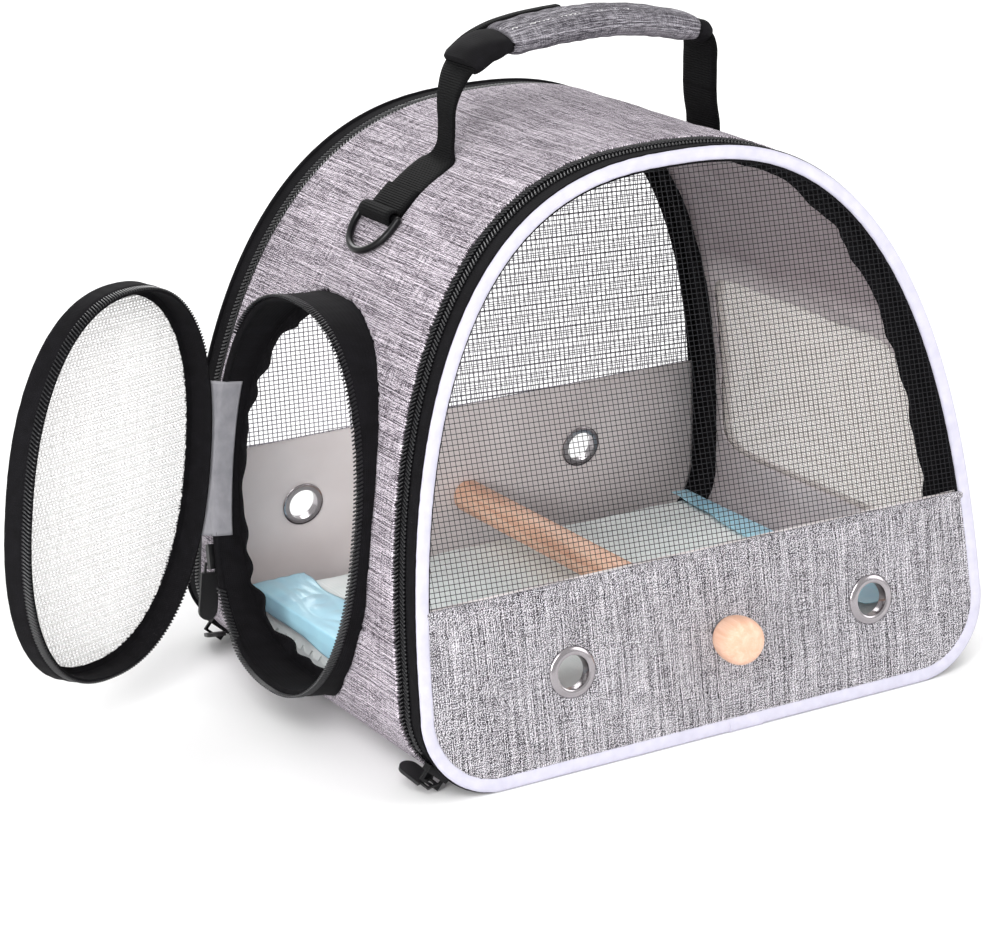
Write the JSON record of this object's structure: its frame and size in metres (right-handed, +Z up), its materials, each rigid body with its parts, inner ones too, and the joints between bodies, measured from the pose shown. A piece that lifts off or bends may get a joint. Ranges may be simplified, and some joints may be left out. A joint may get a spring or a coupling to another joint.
{
  "type": "soft bird travel carrier",
  "caption": "Arched soft-sided bird travel carrier with mesh end panels that fold down, a zipped oval side door, a wooden perch with a knob, a floor pad and a padded webbing handle.",
  "frame": {"origin": "centre of the carrier's base on the ground", "axes": "+Z up, -Y towards the front panel with the perch knob, -X towards the oval side door"},
  "size_m": [0.4066, 0.2489, 0.291],
  "materials": {
    "heather": "soft heather weave",
    "lining": "smooth lining",
    "board": "matt board",
    "pad": "soft absorbent pad",
    "film": "thin blue film",
    "tape": "black woven tape",
    "wire": "drawn spring wire",
    "teeth": "nylon coil",
    "mesh": "fine black mesh",
    "white_mesh": "fine white mesh",
    "trim": "white piping",
    "nickel": "nickel plated",
    "wood": "pale turned wood",
    "steel": "plain steel",
    "hinge_fabric": "grey reflective fabric",
    "webbing": "black webbing",
    "gunmetal": "black coated metal",
    "pull": "soft black tab"
  },
  "bodies": {
    "carrier": {"tunnel_shell": "heather", "tunnel_lining": "lining", "side_window_net": "mesh", "base_board": "board", "floor_pad": "pad", "pad_film": "film", "front_binding": "tape", "rear_binding": "tape", "front_hoop": "wire", "rear_hoop": "wire", "front_zip_body": "teeth", "rear_zip_body": "teeth", "front_seam_tape": "tape", "rear_seam_tape": "tape", "front_fold_tape": "tape", "rear_fold_tape": "tape", "door_gusset": "tape", "door_seam_tape": "tape", "door_zip_body": "teeth", "door_hinge_strip": "hinge_fabric", "door_slider": "gunmetal", "strap_left": "webbing", "strap_right": "webbing", "front_slider": "gunmetal", "rear_slider": "gunmetal"},
    "front_panel": {"front_trim": "trim", "front_net": "mesh", "front_lower_panel": "heather", "front_zip_band": "tape", "front_zip_panel": "teeth", "front_eyelet_left": "nickel", "front_eyelet_right": "nickel", "perch": "wood", "perch_stud": "steel", "knob_washer": "wood"},
    "knob": {"perch_knob": "wood"},
    "rear_panel": {"rear_trim": "tape", "rear_net": "mesh", "rear_lower_panel": "heather", "rear_zip_band": "tape", "rear_zip_panel": "teeth", "rear_eyelet_left": "nickel", "rear_eyelet_right": "nickel"},
    "side_door": {"door_zip_leaf": "teeth", "door_band": "tape", "door_piping": "tape", "door_net": "white_mesh"},
    "handle": {"handle_webbing": "webbing", "handle_grip": "heather", "grip_wrap_left": "webbing", "grip_wrap_right": "webbing"},
    "left_ring": {"d_ring_left": "gunmetal"},
    "right_ring": {"d_ring_right": "gunmetal"},
    "front_zip_pull": {"front_pull": "pull"},
    "rear_zip_pull": {"rear_pull": "pull"},
    "door_zip_pull": {"door_pull": "pull"}
  },
  "joints": [
    {"name": "front_panel_fold", "type": "hinge", "parent": "carrier", "child": "front_panel", "pos_m": [0, -0.11584, 0.00286], "axis": [1, 0, 0], "range_deg": [0, 88]},
    {"name": "rear_panel_fold", "type": "hinge", "parent": "carrier", "child": "rear_panel", "pos_m": [0, 0.11584, 0.00286], "axis": [-1, 0, 0], "range_deg": [0, 88]},
    {"name": "knob_turn", "type": "hinge", "parent": "front_panel", "child": "knob", "pos_m": [0.006, -0.11459, 0.043], "axis": [0, -1, 0], "continuous": true},
    {"name": "side_door_hinge", "type": "hinge", "parent": "carrier", "child": "side_door", "pos_m": [-0.14706, 0.0663, 0.10167], "axis": [0.1305, 0, 0.9914], "range_deg": [-60, 58]},
    {"name": "handle_swing", "type": "hinge", "parent": "carrier", "child": "handle", "pos_m": [0.006, 0, 0.2495], "axis": [1, 0, 0], "range_deg": [-62, 62]},
    {"name": "left_ring_swing", "type": "hinge", "parent": "carrier", "child": "left_ring", "pos_m": [-0.09001, 0, 0.21618], "axis": [0, 1, 0], "range_deg": [0, 110]},
    {"name": "right_ring_swing", "type": "hinge", "parent": "carrier", "child": "right_ring", "pos_m": [0.10229, 0, 0.20132], "axis": [0, -1, 0], "range_deg": [0, 110]},
    {"name": "front_pull_swing", "type": "hinge", "parent": "carrier", "child": "front_zip_pull", "pos_m": [-0.13257, -0.10321, 0.00438], "axis": [-0.7431, 0, 0.6691], "range_deg": [-5, 35]},
    {"name": "rear_pull_swing", "type": "hinge", "parent": "carrier", "child": "rear_zip_pull", "pos_m": [-0.13257, 0.10321, 0.00438], "axis": [0.7431, 0, -0.6691], "range_deg": [-5, 35]},
    {"name": "door_pull_swing", "type": "hinge", "parent": "carrier", "child": "door_zip_pull", "pos_m": [-0.1483, 0.06519, 0.05312], "axis": [-0.9914, 0, 0.1305], "range_deg": [-15, 40]}
  ]
}
